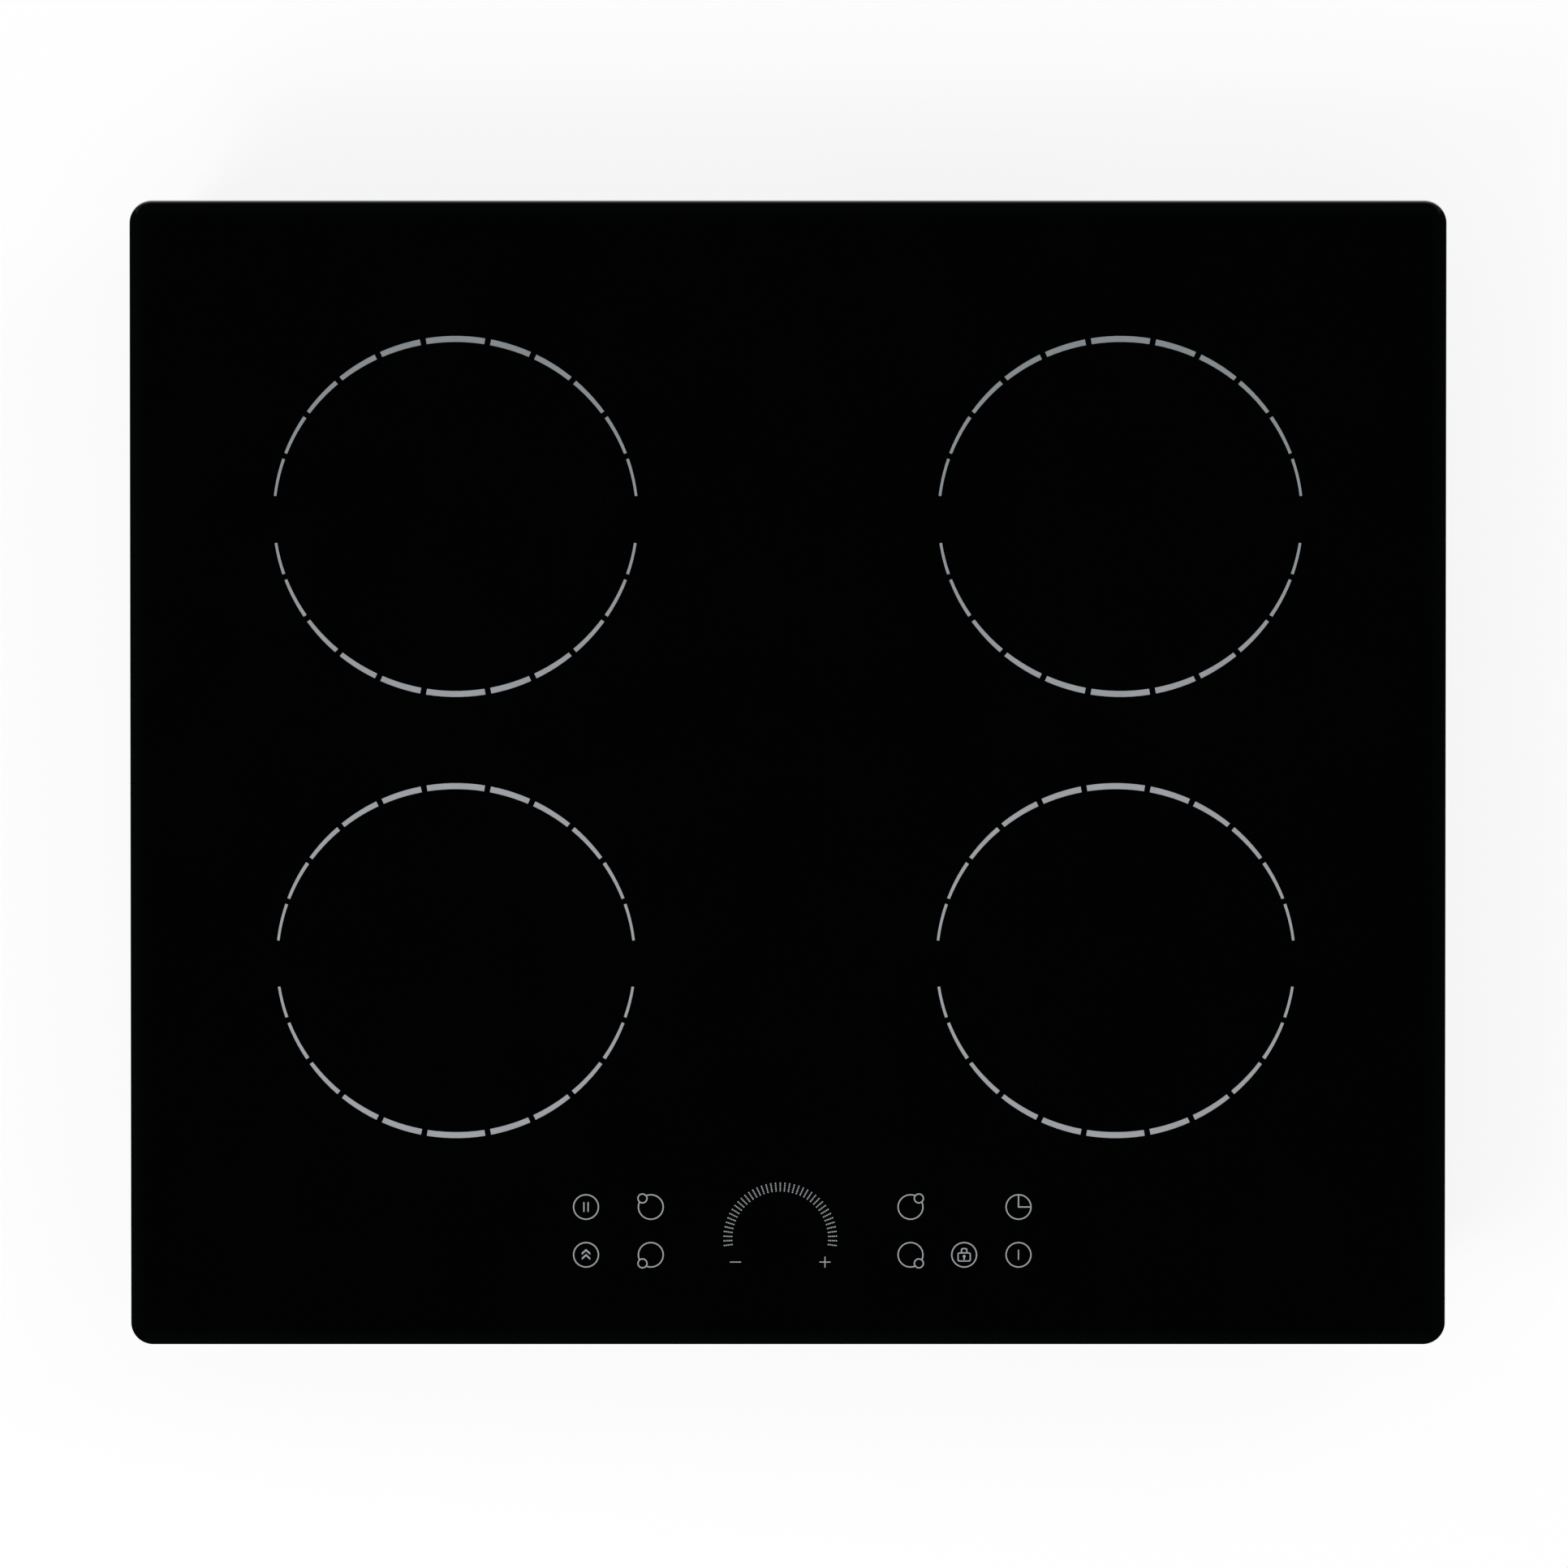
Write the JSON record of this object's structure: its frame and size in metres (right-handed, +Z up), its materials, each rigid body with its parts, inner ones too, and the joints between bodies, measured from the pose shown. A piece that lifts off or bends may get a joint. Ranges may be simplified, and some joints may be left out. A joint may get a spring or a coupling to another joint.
{
  "type": "electric induction cooktop",
  "caption": "Built-in induction cooktop: flat black glass plate with ring-marked cooking zones and a touch control panel over a shallow steel tray.",
  "frame": {"origin": "centre of the underside of the tray, below the middle of the glass", "axes": "+X to the right, -Y towards the user and the controls, +Z up out of the cooking surface"},
  "size_m": [0.59, 0.52, 0.058],
  "materials": {
    "black_glass": "polished black glass ceramic",
    "grey_enamel": "fired light grey enamel",
    "seal_foam": "closed-cell black foam",
    "silicone": "cured grey silicone",
    "frame_aluminium": "mill finish",
    "zinc_sheet": "galvanised steel sheet with fine spangle",
    "zinc_screw": "zinc plated",
    "black_plastic": "fine moulded texture",
    "dark_plastic": "fine moulded texture",
    "cream_plastic": "moulded, heat resistant",
    "white_plastic": "moulded",
    "motor_steel": "dark coated steel",
    "red_wire": "silicone insulation",
    "brown_wire": "insulation",
    "circuit_board": "solder mask over fibreglass",
    "sink_aluminium": "extruded",
    "chip_epoxy": "moulded epoxy",
    "blue_film": "moulded case",
    "copper": "enamelled copper litz",
    "mica": "pressed mica",
    "ferrite": "sintered ferrite",
    "spring_steel": "spring steel",
    "ribbon": "flat ribbon insulation",
    "display_plastic": "dark red display window"
  },
  "bodies": {
    "cooktop": {"glass_top": "black_glass", "zone_print": "grey_enamel", "control_print": "grey_enamel", "rim_gasket": "seal_foam", "bonding_bead": "silicone", "glass_frame": "frame_aluminium", "base_tray": "zinc_sheet", "side_screws": "zinc_screw", "tray_screws": "zinc_screw", "left_blower_housing": "black_plastic", "right_blower_housing": "black_plastic", "left_blower_motor": "motor_steel", "right_blower_motor": "motor_steel", "fan_leads": "red_wire", "left_board_carrier": "white_plastic", "right_board_carrier": "white_plastic", "left_power_board": "circuit_board", "right_power_board": "circuit_board", "left_heat_sink": "sink_aluminium", "right_heat_sink": "sink_aluminium", "power_transistors": "chip_epoxy", "film_capacitors": "blue_film", "choke_coils": "copper", "filter_board": "circuit_board", "mains_wires": "brown_wire", "rear_left_winding": "copper", "rear_right_winding": "copper", "front_left_winding": "copper", "front_right_winding": "copper", "rear_left_coil_carrier": "cream_plastic", "rear_right_coil_carrier": "cream_plastic", "front_left_coil_carrier": "cream_plastic", "front_right_coil_carrier": "cream_plastic", "rear_left_mica": "mica", "rear_right_mica": "mica", "front_left_mica": "mica", "front_right_mica": "mica", "ferrite_bars": "ferrite", "temperature_sensors": "white_plastic", "coil_springs": "spring_steel", "coil_leads": "red_wire", "left_coil_plate": "sink_aluminium", "right_coil_plate": "sink_aluminium", "control_board": "circuit_board", "control_carrier": "black_plastic", "touch_pads": "seal_foam", "led_displays": "display_plastic", "ribbon_cables": "ribbon", "terminal_block": "cream_plastic", "cord_clamp": "black_plastic", "clamp_screws": "zinc_screw", "clamp_spacers": "white_plastic"},
    "left_impeller": {"left_impeller": "dark_plastic"},
    "right_impeller": {"right_impeller": "dark_plastic"},
    "terminal_cover": {"terminal_cover": "black_plastic"},
    "front_left_clamp": {"front_left_clamp": "zinc_sheet"},
    "front_right_clamp": {"front_right_clamp": "zinc_sheet"},
    "rear_left_clamp": {"rear_left_clamp": "zinc_sheet"},
    "rear_right_clamp": {"rear_right_clamp": "zinc_sheet"}
  },
  "joints": [
    {"name": "left_impeller_spin", "type": "hinge", "parent": "cooktop", "child": "left_impeller", "pos_m": [-0.155, 0.1, 0.012], "axis": [0, 0, 1], "continuous": true},
    {"name": "right_impeller_spin", "type": "hinge", "parent": "cooktop", "child": "right_impeller", "pos_m": [0.155, 0.1, 0.012], "axis": [0, 0, 1], "continuous": true},
    {"name": "terminal_cover_hinge", "type": "hinge", "parent": "cooktop", "child": "terminal_cover", "pos_m": [0.07, 0.2394, 0.0264], "axis": [1, 0, 0], "range_deg": [0, 90]},
    {"name": "front_left_clamp_swing", "type": "hinge", "parent": "cooktop", "child": "front_left_clamp", "pos_m": [-0.252, -0.15, 0.007], "axis": [0, 0, 1], "range_deg": [0, 90]},
    {"name": "front_right_clamp_swing", "type": "hinge", "parent": "cooktop", "child": "front_right_clamp", "pos_m": [0.252, -0.15, 0.007], "axis": [0, 0, -1], "range_deg": [0, 90]},
    {"name": "rear_left_clamp_swing", "type": "hinge", "parent": "cooktop", "child": "rear_left_clamp", "pos_m": [-0.252, 0.15, 0.007], "axis": [0, 0, -1], "range_deg": [0, 90]},
    {"name": "rear_right_clamp_swing", "type": "hinge", "parent": "cooktop", "child": "rear_right_clamp", "pos_m": [0.252, 0.15, 0.007], "axis": [0, 0, 1], "range_deg": [0, 90]}
  ]
}
